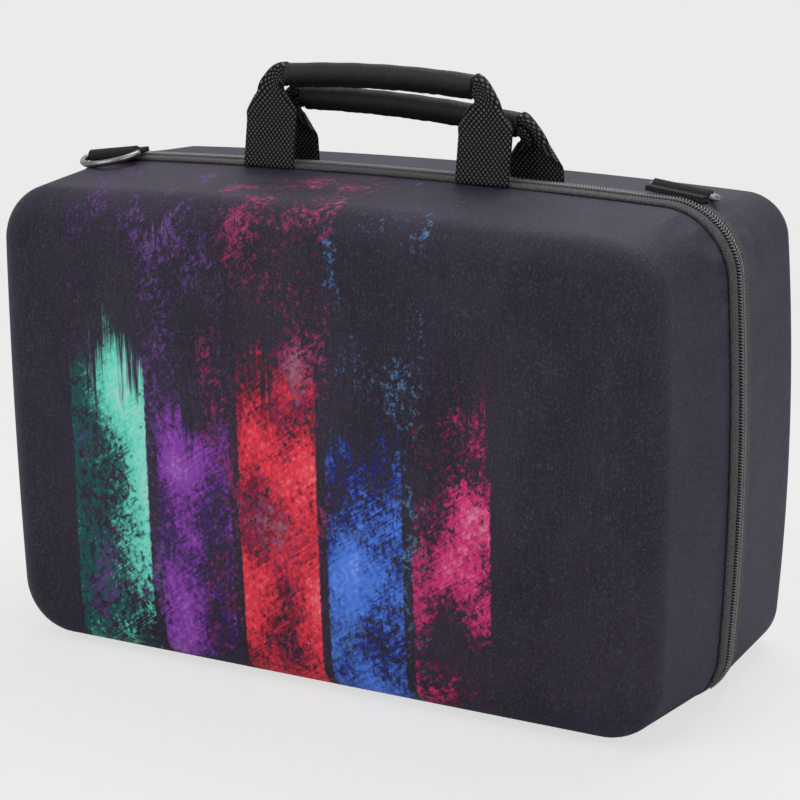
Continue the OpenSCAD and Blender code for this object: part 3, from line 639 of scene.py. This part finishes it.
# Zip bands
# A strip of woven cloth folded over the rim of each shell and sewn down along its outer
# edge. The thin tape of the zip comes out of the fold towards the zip line.
BAND_PROFILE = np.array([
    (14.0, 0.05), (14.1, 0.7), (13.8, 1.5), (13.0, 2.05), (11.6, 2.2), (10.9, 2.02), (10.2, 2.16),
    (8.0, 2.28), (6.6, 2.22), (5.9, 1.95), (5.5, 1.3), (5.25, 0.85), (4.6, 0.8), (1.75, 0.8),
    (1.72, 0.1), (6.0, 0.0)]) / 1000
SEAT = 0.0002


def band_rows(side, sign):
    """Rows that follow the case's outline: for each point (depth, height) of the band's
    profile, the outline at that depth moved out by the height, and by the seat that keeps the
    band off the shell. The bottom is left open."""
    y, height = BAND_PROFILE.T
    ring = outline_points(case_outline(side, y, -(height + SEAT)), 2)[:, :-1]
    return np.stack([ring[..., 0], np.broadcast_to(sign * y[:, None], ring.shape[:2]), ring[..., 1]], -1)


def strip_mesh(name, rows, sign, material):
    """A closed profile carried along the outline, with its two ends capped. UV is the
    distance round the profile and along the outline, in metres."""
    around, columns = rows.shape[:2]
    first = np.arange(around) * columns
    faces = grid_quads(around, columns, rows_close=True, columns_close=False)[:, ::sign].tolist()
    faces += [first[::sign], (first + columns - 1)[::-sign]]
    round_profile = np.linalg.norm(np.diff(rows[:, columns // 2], axis=0), axis=-1)
    along_outline = np.linalg.norm(np.diff(rows[0], axis=0), axis=-1)
    uv = np.stack(np.meshgrid(np.concatenate([[0], np.cumsum(round_profile)]),
                              np.concatenate([[0], np.cumsum(along_outline)]), indexing="ij"), -1)
    strip = mesh_object(name, rows, faces, uv)
    strip.data.materials.append(material)
    return strip


# Stitches: short dashes of thread along a line at a set distance round the UV, each dash
# high in its middle, with a shallow groove between them.
stitches, stitches_in, stitches_out = new_group(
    "stitches", [("UV", "Vector", None), ("Line", "Float", 0.0), ("Pitch", "Float", 0.0034)],
    [("Thread", "Float", None), ("Height", "Float", None)])
round_it, along_it, _ = parts_of(stitches_in.outputs["UV"])
aside = math_node("ABSOLUTE", minus(round_it, stitches_in.outputs["Line"]))
beat = math_node("FRACT", math_node("DIVIDE", along_it, stitches_in.outputs["Pitch"]))
dash = ramp(times(beat, minus(1.0, beat)), 0.08, 0.14)
on_line = minus(1.0, ramp(aside, 0.00022, 0.00042))
thread = times(dash, on_line)
stitches.links.new(thread, stitches_out.inputs["Thread"])
stitches.links.new(minus(times(thread, 1.4), on_line), stitches_out.inputs["Height"])

# Band cloth: dark and flecked, with a painted highlight on the raised threads of its weave, one row of
# stitches, and plain black where it is tape
band_cloth, band_tree, band_shader = new_material("band_cloth", 0.7, specular=0.25)
band_weave = place_group(band_tree, weave, UV=uv_socket(band_tree), Threads_per_metre=900.0)
fleck = noise_node(object_socket(band_tree), (1100, 1100, 1100), 3.0, 0.75)
# Random flecks, plus a painted highlight where the weave's threads stand up
flecks_and_thread_highlight = ramp(times_plus(fleck, 1.3, times(band_weave["Height"], 0.35)), 0.60, 1.05)
band_seam = place_group(band_tree, stitches, UV=uv_socket(band_tree), Line=0.0046, Pitch=0.0034)
_, band_y, _ = parts_of(object_socket(band_tree))
off_zip = math_node("ABSOLUTE", band_y)
on_tape = minus(1.0, ramp(off_zip, 0.0048, 0.0056))
woven = mix_colour(flecks_and_thread_highlight, (0.010, 0.010, 0.010), (0.092, 0.088, 0.092))
woven = mix_colour(band_seam["Thread"], woven, (0.006, 0.006, 0.006))
dye(band_shader, mix_colour(on_tape, woven, (0.004, 0.004, 0.004)),
    times_plus(band_seam["Height"], 1.6, flecks_and_thread_highlight), 0.6, 0.0003)

for name, side, sign, body in (("front_zip_band", FRONT_SIDE, -1, "front_half"),
                               ("back_zip_band", BACK_SIDE, 1, "back_half")):
    band = strip_mesh(name + "_cloth", band_rows(side, sign), sign, band_cloth)
    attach(band, body)
    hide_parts(name)


# Zip chain
# Two rows of coil teeth sewn to the tapes. Each tooth is a loop of nylon wire whose head
# hooks into the row across; the rows stand half a pitch apart.
def zip_line(s):
    """Point, outward direction and direction along, at lengths s from the bottom right
    corner along the zip line: the length is spent arc by arc."""
    x, z, radius, first, last = case_outline(BACK_SIDE, np.zeros(1), 0.0)[..., 0]
    ends = np.cumsum(radius * (last - first))
    k = np.minimum(np.searchsorted(ends, s), 6)
    angle = first[k] + (s - np.concatenate([[0], ends])[k]) / radius[k]
    out = np.stack([np.cos(angle), 0 * angle, np.sin(angle)], -1)
    at = np.stack([x[k], 0 * angle, z[k]], -1) + out * radius[k][:, None]
    return at, out, np.stack([-np.sin(angle), 0 * angle, np.cos(angle)], -1)


TOOTH_PITCH = 0.0020
CHAIN_FROM, CHAIN_TO = 0.0219, 1.0819
WIRE_SIDES = 6

# Along one tooth, in metres: distance from the zip line, height over it and wire radius
TOOTH_ACROSS = np.array([4.1, 4.2, 3.7, 2.7, 1.6, 0.5, -0.5, -0.9]) / 1000
TOOTH_HEIGHT = np.array([0.9, 1.6, 2.3, 2.7, 2.65, 2.2, 1.8, 1.6]) / 1000
TOOTH_THICK = np.array([0.32, 0.36, 0.52, 0.64, 0.58, 0.42, 0.36, 0.2]) / 1000


def coil_row(sign):
    """Teeth along one side: each is a path in its own (across, out) plane that climbs from
    the tape, bends over towards the zip line and ends in a rounded head, set off half a pitch
    from the other side. The wire leans along the chain by 0.45 of its distance across."""
    teeth = int((CHAIN_TO - CHAIN_FROM) / TOOTH_PITCH)
    s = CHAIN_FROM + (np.arange(teeth) + (0.0 if sign > 0 else 0.5)) * TOOTH_PITCH
    at, out, ahead = zip_line(s)
    angle = np.linspace(0, 2 * np.pi, WIRE_SIDES, endpoint=False)
    path = np.stack([np.gradient(TOOTH_ACROSS), np.gradient(TOOTH_HEIGHT)], -1)
    path /= np.linalg.norm(path, axis=-1, keepdims=True)
    across, height, thick = TOOTH_ACROSS[:, None], TOOTH_HEIGHT[:, None], TOOTH_THICK[:, None]
    wire_across = across + thick * np.cos(angle) * -path[:, 1:]
    wire_height = height + thick * np.cos(angle) * path[:, :1]
    wire_ahead = thick * np.sin(angle) + 0.45 * across
    points = (at[:, None, None] + out[:, None, None] * wire_height[..., None]
              + ahead[:, None, None] * wire_ahead[..., None])
    points = points + np.array([0, sign, 0]) * wire_across[..., None]
    rings = len(TOOTH_ACROSS)
    tooth = np.arange(teeth)[:, None] * rings * WIRE_SIDES
    faces = (grid_quads(rings, WIRE_SIDES)[:, ::-sign] + tooth[..., None]).reshape(-1, 4).tolist()
    cap = np.arange(WIRE_SIDES)[::sign]
    for first, order in ((0, cap), ((rings - 1) * WIRE_SIDES, cap[::-1])):
        faces += (tooth + first + order).tolist()
    return points.reshape(-1, 3), faces


coil_plastic, coil_tree, coil_shader = new_material("coil_plastic", 0.28)
nylon_tone = noise_node(object_socket(coil_tree), (1, 1, 1), scale=300.0)
dye(coil_shader, mix_colour(nylon_tone, (0.050, 0.048, 0.050), (0.190, 0.186, 0.190)))

for name, sign, body in (("front_zip_teeth", -1, "front_half"), ("back_zip_teeth", 1, "back_half")):
    coil = mesh_object(name + "_coil", *coil_row(sign))
    coil.data.materials.append(coil_plastic)
    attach(coil, body)
    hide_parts(name)


# Hinge strip
# A strip of the band's cloth sewn under both shells along the bottom, made here as one flat piece that is
# not attached to either half.
STRIP_COLUMNS, STRIP_ROWS = 60, 15
STRIP_HALF_LENGTH, STRIP_HALF_WIDTH = 0.2098, 0.0138
STRIP_UNDER, STRIP_TOP = 0.0001, 0.0020
strip_x = np.linspace(-STRIP_HALF_LENGTH, STRIP_HALF_LENGTH, STRIP_COLUMNS)
strip_y = np.linspace(-STRIP_HALF_WIDTH, STRIP_HALF_WIDTH, STRIP_ROWS)
strip_top = np.stack(np.meshgrid(strip_x, strip_y, [STRIP_TOP], indexing="ij"), -1)[:, :, 0]
strip_under = strip_top[:, ::-1].copy()
strip_under[..., 2] = STRIP_UNDER
strip_rings = np.concatenate([strip_top, strip_under], 1)
strip_faces = grid_quads(STRIP_COLUMNS, 2 * STRIP_ROWS)[:, [0, 3, 2, 1]].tolist()
strip_end = np.arange(2 * STRIP_ROWS)
strip_faces += [strip_end, (strip_end + (STRIP_COLUMNS - 1) * 2 * STRIP_ROWS)[::-1]]
hinge = mesh_object("hinge_strip_cloth", strip_rings, strip_faces, strip_rings[..., :2], smooth=False)
hinge.data.materials.append(band_cloth)
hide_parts("hinge_strip")
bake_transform(hinge)


# Handles
# One length of 38 mm webbing each, sewn flat into the seam at both ends. It folds in
# half and twists as it rises, and passes through a padded sleeve in the middle.
webbing, webbing_tree, webbing_shader = new_material("webbing", 0.8, specular=0.14)
ribs = place_group(webbing_tree, weave, UV=uv_socket(webbing_tree), Threads_per_metre=640.0, Across=0.85)
# Painted light and shade: the raised threads are light grey, the dips between them near black.
painted_thread_light = ramp(ribs["Height"], 0.45, 1.0)
dye(webbing_shader, mix_colour(painted_thread_light, (0.0020, 0.0020, 0.0023), (0.115, 0.112, 0.114)),
    ribs["Height"], 0.8, 0.0005)

# Sign of the side, middle, span, height of the seam, rise, lean and drop of the right end
FRONT_HANDLE = (-1, 0.0, 0.158, 0.328194, 0.060, 0.011, 0.0)
BACK_HANDLE = (1, 0.013, 0.180, 0.327498, 0.040, 0.004, 0.009)
SEAM_Y = 0.0156
HALF_WEBBING, HALF_THICK, FOLD_RADIUS = 0.019, 0.001, 0.002
TURN_WIDTH, TURN_HEIGHT = 0.009, 0.012


def handle_end(handle, end):
    """Rings of webbing from the seam up to one end of the sleeve. The strip goes straight up
    and then round a quarter of an ellipse. Across it, the part within a half width stays
    flat; the rest bends back on a radius of 2 mm through an angle that grows to 180 degrees
    while that half width shrinks from 19 mm to 6.6 mm, so that both edges fold in behind.
    Towards the sleeve the folded section is scaled from flat to round."""
    sign, middle, span, seam_z, rise, lean, drop = handle
    rise = rise - end * drop / 2
    tilt = end * np.arctan2(drop, span - 2 * TURN_WIDTH) + 0.085

    # The path: up, round the quarter, and three rings on into the sleeve
    low = np.linspace(-0.0008, rise - TURN_HEIGHT, 26)[:-1]
    quarter = np.linspace(0, np.pi / 2, 16)
    turn = np.concatenate([0 * low, quarter, np.full(3, np.pi / 2)])
    into = np.concatenate([0 * low, 0 * quarter, [0.0007, 0.003, 0.009]])
    z = np.concatenate([low, rise - TURN_HEIGHT + TURN_HEIGHT * np.sin(quarter), np.full(3, rise)])
    x = middle + end * (span / 2 - TURN_WIDTH * (1 - np.cos(turn)) - into)
    y = sign * (SEAM_Y - lean * z / rise)

    # The section: out along one face of the webbing and back along the other
    folded = np.clip((z - (rise - 0.030)) / 0.018, 0, 1)[:, None]
    flat = HALF_WEBBING - 0.0124 * folded
    most = np.pi * np.clip(folded * 1.25, 0.001, 1)
    v = np.concatenate([np.linspace(-1, 1, 33), np.linspace(1, -1, 33)])
    skin = np.concatenate([np.full(33, -1.0), np.full(33, 1.0)]) * np.clip((1 - np.abs(v)) * 30, 0.3, 1)
    over = np.clip(np.abs(v) * HALF_WEBBING - flat, 0, None)
    bent = np.minimum(over / FOLD_RADIUS, most)
    rest = np.clip(over - FOLD_RADIUS * most, 0, None)
    wide = (np.minimum(np.abs(v) * HALF_WEBBING, flat) + (FOLD_RADIUS - HALF_THICK * skin) * np.sin(bent)
            + rest * np.cos(most))
    deep = (FOLD_RADIUS * (1 - np.cos(bent)) + rest * np.sin(most) + HALF_THICK * skin * np.cos(bent)
            - 0.002 * folded)

    # Scaled from flat to round, drawn together on the outside of the turn and let out inside
    rounder = (turn / (np.pi / 2))[:, None]
    size = np.where(into > 0.0005, 0.6, 1.0)[:, None]
    outside = np.where(v * end < 0, 1.0, 0.0)[None]
    squeeze = 1 - 0.4 * np.sin(2 * turn)[:, None] * outside
    squeeze = squeeze + 0.29 * folded * np.clip(np.cos(2 * turn), 0, 1)[:, None] ** 2 * (1 - outside)
    wide = wide * np.sign(v) * (1 + rounder * (7.2 / 8.6 - 1)) * size * squeeze
    deep = deep * (1 + rounder * 1.1) * size
    level = turn - tilt * turn / (np.pi / 2)
    points = np.stack([x[:, None] - end * np.cos(level)[:, None] * wide, y[:, None] - sign * deep,
                       seam_z + z[:, None] - np.sin(level)[:, None] * wide], -1)
    length = np.cumsum(np.hypot(np.gradient(x), np.gradient(z)))
    uv = np.stack([np.broadcast_to(v * HALF_WEBBING, wide.shape),
                   np.broadcast_to(length[:, None], wide.shape)], -1)
    return points, uv


def tube_faces(rings, columns):
    """Quads round a tube of rings, and its two capped ends."""
    first = np.arange(columns)
    return [*grid_quads(rings, columns), first[::-1], first + (rings - 1) * columns]


def make_webbing(name, handle):
    """The two ends, each a closed tube of rings, in one mesh. The faces of an end turn round
    with its side and its half of the bag, so that they point outwards."""
    points, uv, faces = [], [], []
    for end in (-1, 1):
        rings, laid = handle_end(handle, end)
        start = sum(len(part) for part in points)
        faces += [start + face[::end * handle[0]] for face in tube_faces(*rings.shape[:2])]
        points.append(rings.reshape(-1, 3))
        uv.append(laid.reshape(-1, 2))
    return mesh_object(name, np.concatenate(points), faces, np.concatenate(uv))


# Padded sleeve: soft cloth over foam round the folded webbing, closed by a sewn lip
# underneath, with puckers where the lip is sewn.
grip_cloth, grip_tree, grip_shader = new_material("grip_cloth", 0.52, specular=0.2)
grip_weave = place_group(grip_tree, weave, UV=uv_socket(grip_tree), Threads_per_metre=1000.0)
crease = noise_node(uv_socket(grip_tree), (170, 42, 1), 3.0, 0.6)
dye(grip_shader, mix_colour(grip_weave["Tone"], (0.0035, 0.0035, 0.0045), (0.014, 0.014, 0.016)),
    times_plus(grip_weave["Height"], 0.12, crease), 0.7, 0.0022)
GRIP_ARCH, GRIP_RADIUS, GRIP_END_RADIUS = 0.003, 0.0072, 0.0046


def make_grip(name, handle):
    """A tube along an arc that rises 3 mm over its chord. Its radius is 7.1 mm, less at the
    rolled ends, plus puckers that fade away from the lip, and the lip stands out below as a
    narrow bell curve. The ends turn in round the webbing."""
    sign, middle, span, seam_z, rise, lean, drop = handle
    chord = span / 2 - 0.0095
    curve = (chord ** 2 + GRIP_ARCH ** 2) / (2 * GRIP_ARCH)
    half_angle = np.arcsin(chord / curve)
    tilt = np.arctan2(drop, span - 2 * TURN_WIDTH)
    rows, columns = 150, 72
    s = np.linspace(-1, 1, rows)[:, None]
    angle = np.linspace(0, 2 * np.pi, columns, endpoint=False)[None]
    under = np.angle(np.exp(1j * (angle + np.pi / 2)))
    end = np.clip((1 - np.abs(s)) * chord / 0.0022, 0, 1)
    rng = np.random.default_rng(4)
    rates, starts = rng.uniform(400, 900, 6), rng.uniform(0, 6, 6)
    waves = sum(np.sin(s * chord * rate + start) for rate, start in zip(rates, starts)) / 6
    radius = (0.0052 + 0.0019 * np.sqrt(1 - (1 - end) ** 2)
              + 0.00028 * waves * np.exp(-(under / 1.1) ** 2) * end
              + 0.00012 * np.sin(s * chord * 260 + np.cos(angle) * 2) * end
              + 0.0021 * np.exp(-(under / 0.16) ** 2) * end)
    turned_in = np.array([0.9985, 0.996])[:, None]
    narrow = np.full((2, columns), GRIP_END_RADIUS)
    s = np.concatenate([-turned_in[::-1], s, turned_in])
    radius = np.concatenate([narrow, radius, narrow])
    out = radius * np.sin(angle)
    x = (curve + out) * np.sin(s * half_angle)
    z = (curve + out) * np.cos(s * half_angle) - curve + GRIP_ARCH
    x, z = x * np.cos(tilt) + z * np.sin(tilt), z * np.cos(tilt) - x * np.sin(tilt)
    y = np.broadcast_to(radius * np.cos(angle), x.shape)
    points = np.stack([middle + x, sign * (SEAM_Y - lean) + y, seam_z + rise + z], -1)
    uv = np.stack([np.broadcast_to(s * chord, x.shape),
                   np.broadcast_to(angle * GRIP_RADIUS, x.shape)], -1)
    return mesh_object(name, points, tube_faces(len(s), columns), uv)


for side, handle in (("front", FRONT_HANDLE), ("back", BACK_HANDLE)):
    strap = make_webbing(side + "_handle_strap", handle)
    strap.data.materials.append(webbing)
    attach(strap, side + "_handle")
    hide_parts(side + "_handle_webbing")
    grip = make_grip(side + "_handle_sleeve", handle)
    grip.data.materials.append(grip_cloth)
    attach(grip, side + "_handle")
    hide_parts(side + "_handle_grip")


# Rings and tabs
# A D-ring of round plated wire lies in a loop of webbing sewn over the band, on the left
# of the front half and on the right of the back half.
ring_metal, ring_tree, ring_shader = new_material("ring_metal", 0.3, metallic=0.9)
scuff = noise_node(object_socket(ring_tree), (1, 1, 1), 4.0, scale=260.0)
dye(ring_shader, mix_colour(scuff, (0.10, 0.10, 0.105), (0.25, 0.25, 0.26)))
ring_tree.links.new(times_plus(scuff, 0.3, 0.15), ring_shader.inputs["Roughness"])
RING_RADIUS, RING_BEND, RING_WIRE = 0.0220, 0.0045, 0.0022
RING_SIDES = 20
# The angle by which a ring lies down from its tab to the case, beyond the slope of the top
RING_SLOPE = 5.6045


def turn_down(points, fall, dip):
    """Points turned by the dip about X and then by the fall about Y, in degrees."""
    f, d = np.radians([fall, -dip])
    about_x = np.array([[1, 0, 0], [0, np.cos(d), -np.sin(d)], [0, np.sin(d), np.cos(d)]])
    about_y = np.array([[np.cos(f), 0, np.sin(f)], [0, 1, 0], [-np.sin(f), 0, np.cos(f)]])
    return points @ (about_y @ about_x).T


def make_ring(name, sign, bar, fall, dip):
    """A round wire along a D: half a circle, two small bends that touch it and the bar, and
    the bar. A bend's middle stands off the bar by the bend's own radius, and off the middle
    of the half circle by the difference of the two radii."""
    bend_x = np.sqrt((RING_RADIUS - RING_BEND) ** 2 - RING_BEND ** 2)
    meet = np.arctan2(RING_BEND, bend_x)
    bow = np.linspace(meet, np.pi - meet, 60)
    bend = np.linspace(-np.pi / 2, meet, 10)[:-1]
    back = bend[::-1]
    path = np.concatenate([
        np.stack([bend_x + RING_BEND * np.cos(bend), RING_BEND + RING_BEND * np.sin(bend)], -1),
        np.stack([RING_RADIUS * np.cos(bow), RING_RADIUS * np.sin(bow)], -1),
        np.stack([-bend_x - RING_BEND * np.cos(back), RING_BEND + RING_BEND * np.sin(back)], -1),
        np.stack([np.linspace(-bend_x, bend_x, 14)[1:-1], np.zeros(12)], -1)])
    along = np.roll(path, -1, 0) - np.roll(path, 1, 0)
    along /= np.linalg.norm(along, axis=1, keepdims=True)
    out = np.stack([along[:, 1], -along[:, 0]], -1)
    angle = np.linspace(0, 2 * np.pi, RING_SIDES, endpoint=False)
    sideways = path[:, None] + RING_WIRE * np.cos(angle)[None, :, None] * out[:, None]
    upwards = np.broadcast_to(RING_WIRE * np.sin(angle)[None, :, None], (len(path), RING_SIDES, 1))
    points = np.concatenate([sideways, upwards], -1).reshape(-1, 3)
    points = turn_down(points, fall, dip) * [sign, sign, 1] + bar
    quads = grid_quads(len(path), RING_SIDES, rows_close=True)[:, [0, 3, 2, 1]]
    return mesh_object(name, points, quads)


for name, sign, bar, fall, dip, body in (
        ("front_d_ring", -1, (-0.201, -0.0189, 0.327779), 8.1584, 2.8296 + RING_SLOPE, "front_ring"),
        ("back_d_ring", 1, (0.201, 0.0189, 0.326956), 7.2015, 5.4766 + RING_SLOPE, "back_ring")):
    ring = make_ring(name + "_wire", sign, bar, fall, dip)
    ring.data.materials.append(ring_metal)
    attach(ring, body)
    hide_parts(name)

# Plain webbing of the tabs and straps, whose weave lies on the piece's x and on its y plus z
plain_webbing, plain_tree, plain_shader = new_material("webbing_plain", 0.8, specular=0.14)
plain_x, plain_y, plain_z = parts_of(object_socket(plain_tree))
plain_uv = plain_tree.nodes.new("ShaderNodeCombineXYZ")
plain_tree.links.new(plain_x, plain_uv.inputs[0])
plain_tree.links.new(plus(plain_y, plain_z), plain_uv.inputs[1])
plain_ribs = place_group(plain_tree, weave, UV=plain_uv.outputs[0], Threads_per_metre=1000.0, Across=0.9)
# Painted light and shade: the raised threads are light grey, the dips between them near black.
plain_painted_thread_light = ramp(plain_ribs["Height"], 0.55, 1.0)
dye(plain_shader, mix_colour(plain_painted_thread_light, (0.0012, 0.0012, 0.0015), (0.105, 0.102, 0.105)),
    plain_ribs["Height"], 0.5, 0.0003)
cad = {piece["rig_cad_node"]: piece for piece in bpy.data.objects if "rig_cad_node" in piece}


def finish_node(node, material):
    """A CAD node that keeps its shape gets its finish."""
    cad[node].data.materials.clear()
    cad[node].data.materials.append(material)


for node in ("front_ring_tab", "back_ring_tab", "left_securing_strap", "right_securing_strap"):
    finish_node(node, plain_webbing)


# Zip slider and pull
# A plated casting with a crown, and a pull tab on a pin. Closed, it stands at the foot of
# the left side.
finish_node("zip_slider", ring_metal)
finish_node("zip_pull", ring_metal)


# Net pocket
# A knitted net inside the front half, in a frame of edging tape.
net_cord, net_tree, net_shader = new_material("net_cord", 0.8, sheen=0.3)
cord_tone = noise_node(object_socket(net_tree), (1, 1, 1), scale=900.0)
dye(net_shader, mix_colour(cord_tone, (0.012, 0.012, 0.014), (0.04, 0.04, 0.045)))
finish_node("pocket_net", net_cord)
finish_node("pocket_edging", band_cloth)
